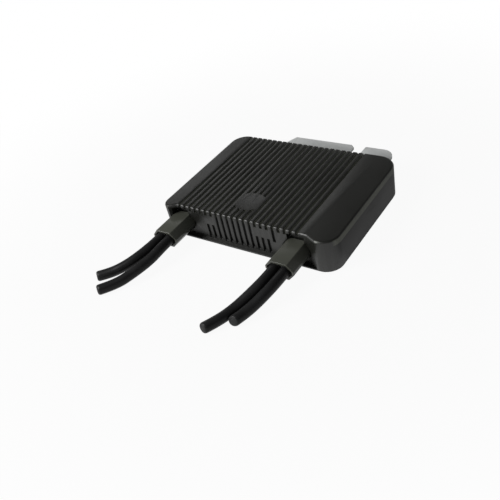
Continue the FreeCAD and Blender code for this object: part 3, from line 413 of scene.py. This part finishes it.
class LeadSettings(bpy.types.PropertyGroup):
    diameter: FloatProperty(
        name="Jacket Diameter", description="Outside diameter of a lead", unit="LENGTH",
        default=0.008, min=0.004, max=0.0085, precision=4)
    spacing: FloatProperty(
        name="Lead Spacing", description="Middle to middle of a pair of leads", unit="LENGTH",
        default=0.0086, min=0.007, max=0.012, precision=4)
    colour: FloatVectorProperty(
        name="Jacket Colour", description="Colour of the leads", subtype="COLOR",
        default=(0.0105, 0.0105, 0.0107), min=0.0, max=1.0)


class BracketSettings(bpy.types.PropertyGroup):
    colour: FloatVectorProperty(
        name="Sheet Colour", description="Colour of the bracket's coating", subtype="COLOR",
        default=(0.66, 0.675, 0.665), min=0.0, max=1.0)


class StageSettings(bpy.types.PropertyGroup):
    key_power: FloatProperty(
        name="Key Power", description="Power of the lamp in front on the left", unit="POWER",
        default=21.0, min=0.0, max=100.0)
    fill_power: FloatProperty(
        name="Fill Power", description="Power of the lamp behind on the left", unit="POWER",
        default=0.78, min=0.0, max=100.0)
    ambient: FloatProperty(
        name="Ambient", description="Brightness of the room for dull surfaces",
        default=0.22, min=0.0, max=2.0)
    ceiling: FloatProperty(
        name="Ceiling", description="Brightness of the room overhead, as shiny surfaces show it",
        default=0.07, min=0.0, max=1.0)
    floor_size: FloatProperty(
        name="Floor Size", description="Side of the floor", unit="LENGTH",
        default=6.0, min=1.0, max=20.0)


class OPTIMIZER_OT_camera(bpy.types.Operator):
    """Sets up the camera at the viewing angle of the picture"""

    bl_idname = "optimizer.camera"
    bl_label = "Camera"

    def execute(self, context):
        data = bpy.data.cameras.new("camera")
        data.lens = CAMERA_LENS
        data.sensor_width = 36.0
        data.clip_start = 0.01
        camera = bpy.data.objects.new("camera", data)
        camera.location = CAMERA_SPOT
        camera.rotation_euler = Euler([math.radians(turn) for turn in CAMERA_TURN], "XYZ")
        context.scene.collection.objects.link(camera)
        context.scene.camera = camera
        return {"FINISHED"}


def lead_route(name, settings):
    """The control points of a lead, in metres."""
    gland, lane, _, steps = LEADS[name]
    resting = settings.diameter / 2 + LEAD_LIFT * MM
    level = GLAND_LEVEL * MM
    start = GLAND_MIDDLES[gland] * MM + lane * settings.spacing / 2
    return [
        Vector((
            start + sideways * MM, (GLAND_MOUTH - forward) * MM, resting + (level - resting) * share))
        for sideways, forward, share in steps]


def lead_line(name, route):
    """Points along the smooth spline of a lead's control points."""
    curve = bpy.data.curves.new(f"guide_{name}", "CURVE")
    curve.dimensions = "3D"
    spline = curve.splines.new("NURBS")
    spline.points.add(len(route) - 1)
    for point, spot in zip(spline.points, route):
        point.co = (*spot, 1.0)
    spline.use_endpoint_u = True
    spline.order_u = 3
    spline.resolution_u = 16
    guide = bpy.data.objects.new(f"guide_{name}", curve)
    line = bpy.data.meshes.new_from_object(guide)
    points = [vertex.co.copy() for vertex in line.vertices]
    bpy.data.objects.remove(guide)
    bpy.data.curves.remove(curve)
    bpy.data.meshes.remove(line)
    return points


def jacket_mesh(name, line, radius, slant):
    """A jacket round a line, cut off askew, with its rim worn round and the inner sleeve in its end."""
    shape = bmesh.new()
    slope = math.tan(math.radians(slant))
    end = line[-1]
    heading = (end - line[-2]).normalized()
    towards = (CUT_FACING - heading * CUT_FACING.dot(heading)).normalized()
    short = 2 * radius * slope + CUT_ROOM
    sides = [Vector((0.0, 0.0, 1.0))]
    headings = [(after - before).normalized() for before, after in zip(line, line[1:])]
    for before, after in zip(headings, headings[1:]):
        sides.append(before.rotation_difference(after) @ sides[-1])

    def add_ring(middle, heading, side, share, place):
        ring = []
        other = heading.cross(side)
        for number in range(LEAD_SIDES):
            angle = math.tau * number / LEAD_SIDES
            outward = (side * math.cos(angle) + other * math.sin(angle)) * radius * share
            ring.append(shape.verts.new(middle + outward + heading * place(outward)))
        return ring

    rings = []
    for spot, heading_here, side in zip(line, headings, sides):
        if (end - spot).length > short:
            rings.append(add_ring(spot, heading_here, side, 1.0, lambda outward: 0.0))
    jacket_strips = len(rings) + JACKET_RIM_STRIPS
    for share, reach in RIM_PROFILE + SLEEVE_PROFILE:
        rings.append(add_ring(
            end, heading, sides[-1], share,
            lambda outward, reach=reach: reach * MM - slope * (radius + outward.dot(towards))))
    shape.faces.new(reversed(rings[0]))
    for number, (inner, outer) in enumerate(zip(rings, rings[1:])):
        join_rings(shape, inner, outer, 0 if number < jacket_strips else 1)
    cap = shape.faces.new(rings[-1])
    cap.material_index = 1
    bmesh.ops.recalc_face_normals(shape, faces=shape.faces)
    return smooth_mesh(shape, name)


class OPTIMIZER_OT_leads(bpy.types.Operator):
    """Lays the four leads along their routes, with their cut ends"""

    bl_idname = "optimizer.leads"
    bl_label = "Leads"

    def execute(self, context):
        settings = context.scene.optimizer_leads
        jacket = lead_jacket("jacket", settings.colour, 0.4)
        sleeve = soft_rubber("inner_sleeve", (0.008, 0.008, 0.008))
        for name, (_, _, length, _) in LEADS.items():
            line = lead_line(name, lead_route(name, settings))
            mesh = jacket_mesh(f"lead_{name}", line, settings.diameter / 2, CUT_SLANTS[name])
            lead = mesh_object(f"lead_{name}", mesh, jacket)
            mesh.materials.append(sleeve)
            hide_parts(f"cable_{name}")
        return {"FINISHED"}


class OPTIMIZER_OT_cover(bpy.types.Operator):
    """Gives the ribbed cover its grained plastic and its rounded rib edges"""

    bl_idname = "optimizer.cover"
    bl_label = "Ribbed Cover"

    def execute(self, context):
        settings = context.scene.optimizer_cover
        plastic = moulded_plastic(
            "cover_plastic", settings.colour, settings.grain_size, 0.02 * MM, roughness=0.4, ribbed=True)
        dress(["housing_cover"], plastic)
        soften(["housing_cover"], settings.edge_rounding)
        return {"FINISHED"}


class OPTIMIZER_OT_plate(bpy.types.Operator):
    """Gives the base plate its black coating"""

    bl_idname = "optimizer.plate"
    bl_label = "Base Plate"

    def execute(self, context):
        dress(["base_plate"], coated_plate("plate_coating", (0.02, 0.02, 0.019), 0.45))
        soften(["base_plate"], 0.15 * MM)
        return {"FINISHED"}


class OPTIMIZER_OT_glands(bpy.types.Operator):
    """Gives the glands their smooth plastic and the leads their collars in the glands' mouths"""

    bl_idname = "optimizer.glands"
    bl_label = "Cable Glands"

    def execute(self, context):
        leads = context.scene.optimizer_leads
        plastic = moulded_plastic(
            "gland_plastic", (0.054, 0.056, 0.045), 0.00028, 0.015 * MM, roughness=0.36)
        glands = ["cable_gland_left", "cable_gland_right"]
        dress(glands, plastic)
        soften(glands, 0.18 * MM)
        rubber = soft_rubber("collar_rubber", (0.012, 0.012, 0.012))
        for side, middle in GLAND_MIDDLES.items():
            shape = bmesh.new()
            for lane in (-1, 1):
                self.add_collar(shape, middle * MM + lane * leads.spacing / 2, leads)
            name = f"lead_collars_{side}"
            mesh_object(name, smooth_mesh(shape, name), rubber)
        return {"FINISHED"}

    @staticmethod
    def add_collar(shape, across, leads):
        """A low rubber cone round one lead, against the floor of the mouth."""
        rings = []
        for radius, reach in COLLAR_PROFILE:
            ring = []
            for number in range(COLLAR_SIDES):
                angle = math.tau * number / COLLAR_SIDES
                ring.append(shape.verts.new((
                    across + math.cos(angle) * radius * leads.diameter,
                    GLAND_MOUTH * MM - reach * MM,
                    GLAND_LEVEL * MM + math.sin(angle) * radius * leads.diameter)))
            rings.append(ring)
        rings.append(rings[0])
        for inner, outer in zip(rings, rings[1:]):
            join_rings(shape, inner, outer)


class OPTIMIZER_OT_bracket(bpy.types.Operator):
    """Gives the rail bracket its zinc coating"""

    bl_idname = "optimizer.bracket"
    bl_label = "Rail Bracket"

    def execute(self, context):
        dress(["mounting_bracket"], zinc_sheet("zinc", context.scene.optimizer_bracket.colour))
        soften(["mounting_bracket"], 0.2 * MM)
        return {"FINISHED"}


class OPTIMIZER_OT_fasteners(bpy.types.Operator):
    """Gives the screws their steel"""

    bl_idname = "optimizer.fasteners"
    bl_label = "Screws"

    def execute(self, context):
        dress(["housing_screws", "bracket_screws"], turned_steel("screw_steel", (0.5, 0.5, 0.49)))
        soften(["housing_screws", "bracket_screws"], 0.1 * MM)
        return {"FINISHED"}


class OPTIMIZER_OT_seals(bpy.types.Operator):
    """Gives the gasket and the gland seals their rubber"""

    bl_idname = "optimizer.seals"
    bl_label = "Seals"

    def execute(self, context):
        rubber = soft_rubber("seal_rubber", (0.03, 0.03, 0.03))
        dress(["cover_gasket", "gland_seal_left", "gland_seal_right"], rubber)
        return {"FINISHED"}


class OPTIMIZER_OT_electronics(bpy.types.Operator):
    """Gives the board and the parts on it their own materials"""

    bl_idname = "optimizer.electronics"
    bl_label = "Electronics"

    # node names, material name, colour, roughness, metallic, size of the marks in mm
    PARTS = [
        (["circuit_board"], "solder_mask", (0.015, 0.1, 0.035), 0.35, 0.0, 0.8),
        (["inductor_core", "signal_transformer"], "ferrite", (0.05, 0.05, 0.055), 0.6, 0.0, 0.3),
        (["inductor_coil", "lead_conductors"], "copper", (0.72, 0.35, 0.2), 0.35, 1.0, 0.5),
        (["input_capacitors"], "film_box", (0.5, 0.36, 0.06), 0.4, 0.0, 0.6),
        (["output_capacitors", "wire_terminals"], "bright_metal", (0.62, 0.62, 0.62), 0.32, 1.0, 0.4),
        (["power_transistors", "control_chip"], "chip_epoxy", (0.02, 0.02, 0.022), 0.55, 0.0, 0.2),
        (["thermal_pad"], "pad_silicone", (0.33, 0.36, 0.4), 0.75, 0.0, 0.5),
    ]

    def execute(self, context):
        for nodes, name, colour, roughness, metallic, mark_size in self.PARTS:
            dress(nodes, plain_part(name, colour, roughness, metallic, mark_size * MM))
        return {"FINISHED"}


class OPTIMIZER_OT_stage(bpy.types.Operator):
    """Lays the floor, hangs the lamps and lights the room"""

    bl_idname = "optimizer.stage"
    bl_label = "Stage"

    def execute(self, context):
        settings = context.scene.optimizer_stage
        self.lay_floor(context, settings)
        self.hang_lamp(context, "key", *KEY_LAMP, settings.key_power)
        self.hang_lamp(context, "fill", *FILL_LAMP, settings.fill_power)
        self.light_room(context, settings)
        context.scene.view_settings.view_transform = "Standard"
        return {"FINISHED"}

    @staticmethod
    def lay_floor(context, settings):
        half = settings.floor_size / 2
        mesh = bpy.data.meshes.new("floor")
        corners = [(-half, -half, 0), (half, -half, 0), (half, half, 0), (-half, half, 0)]
        mesh.from_pydata(corners, [], [(0, 1, 2, 3)])
        floor = bpy.data.objects.new("floor", mesh)
        floor.location.z = FLOOR_LEVEL
        context.scene.collection.objects.link(floor)
        paint = Paint("floor_paper")
        paper = paint.mix(paint.noise(3.0), (0.34, 0.34, 0.34), (0.38, 0.38, 0.38))
        paint.finish(paper, 0.9, specular=0.1)
        surface = Signal(paint, paint.shader.outputs["BSDF"])
        behind = paint.along("Y").band(*FLOOR_BACK)
        shade = paint.mix(paint.ray("Glossy") * behind, (1.0, 1.0, 1.0), [FLOOR_BACK_GREY] * 3)
        glow = paint.node("ShaderNodeEmission", {}, {"Color": shade, "Strength": 1.0})
        reach = paint.node(
            "ShaderNodeVectorMath", {"operation": "LENGTH"}, {0: paint.place}, output="Value")
        share = reach.band(FLOOR_NEAR[0], FLOOR_FAR[0], before=FLOOR_NEAR[1], after=FLOOR_FAR[1])
        paint.blend(paint.looked_at() * share, surface, glow, "Material Output")
        mesh.materials.append(paint.owner)

    @staticmethod
    def hang_lamp(context, name, spot, size, power):
        data = bpy.data.lights.new(name, "AREA")
        data.shape = "DISK"
        data.size = size
        data.energy = power
        lamp = bpy.data.objects.new(name, data)
        lamp.location = spot
        lamp.rotation_euler = (LAMPS_AIM - Vector(spot)).to_track_quat("-Z", "Y").to_euler()
        context.scene.collection.objects.link(lamp)

    @staticmethod
    def light_room(context, settings):
        room = Paint("room", world=True)
        context.scene.world = room.owner
        dull = room.node(
            "ShaderNodeBackground", {}, {"Color": (0.97, 0.985, 1.0, 1.0), "Strength": settings.ambient})
        room.feed(room.shader.inputs["Color"], (1.0, 1.0, 1.0, 1.0))
        room.feed(
            room.shader.inputs["Strength"],
            room.along("Z").band(*CEILING_RISE, before=1.0, after=settings.ceiling))
        white = Signal(room, room.shader.outputs["Background"])
        room.blend(room.looked_at(), dull, white, "World Output")


class OPTIMIZER_PT_sidebar(bpy.types.Panel):
    """Lists the pieces of the power optimizer"""

    bl_idname = "OPTIMIZER_PT_sidebar"
    bl_label = "Power Optimizer"
    bl_space_type = "VIEW_3D"
    bl_region_type = "UI"
    bl_category = "Optimizer"

    def draw(self, context):
        for operator in OPERATORS:
            self.layout.operator(operator.bl_idname)
        for settings in SETTINGS:
            group = getattr(context.scene, settings)
            for name in group.__annotations__:
                self.layout.prop(group, name)


OPERATORS = [
    OPTIMIZER_OT_camera, OPTIMIZER_OT_leads, OPTIMIZER_OT_cover, OPTIMIZER_OT_plate, OPTIMIZER_OT_glands,
    OPTIMIZER_OT_bracket, OPTIMIZER_OT_fasteners, OPTIMIZER_OT_seals, OPTIMIZER_OT_electronics,
    OPTIMIZER_OT_stage,
]
SETTINGS = {
    "optimizer_cover": CoverSettings,
    "optimizer_leads": LeadSettings,
    "optimizer_bracket": BracketSettings,
    "optimizer_stage": StageSettings,
}


def register():
    for kind in [*SETTINGS.values(), *OPERATORS, OPTIMIZER_PT_sidebar]:
        bpy.utils.register_class(kind)
    for name, kind in SETTINGS.items():
        setattr(bpy.types.Scene, name, PointerProperty(type=kind))


def unregister():
    for name in SETTINGS:
        delattr(bpy.types.Scene, name)
    for kind in reversed([*SETTINGS.values(), *OPERATORS, OPTIMIZER_PT_sidebar]):
        bpy.utils.unregister_class(kind)


def main():
    register()
    bpy.ops.optimizer.camera()
    bpy.ops.optimizer.leads()
    bpy.ops.optimizer.cover()
    bpy.ops.optimizer.plate()
    bpy.ops.optimizer.glands()
    bpy.ops.optimizer.bracket()
    bpy.ops.optimizer.fasteners()
    bpy.ops.optimizer.seals()
    bpy.ops.optimizer.electronics()
    bpy.ops.optimizer.stage()


if __name__ == "__main__":
    main()
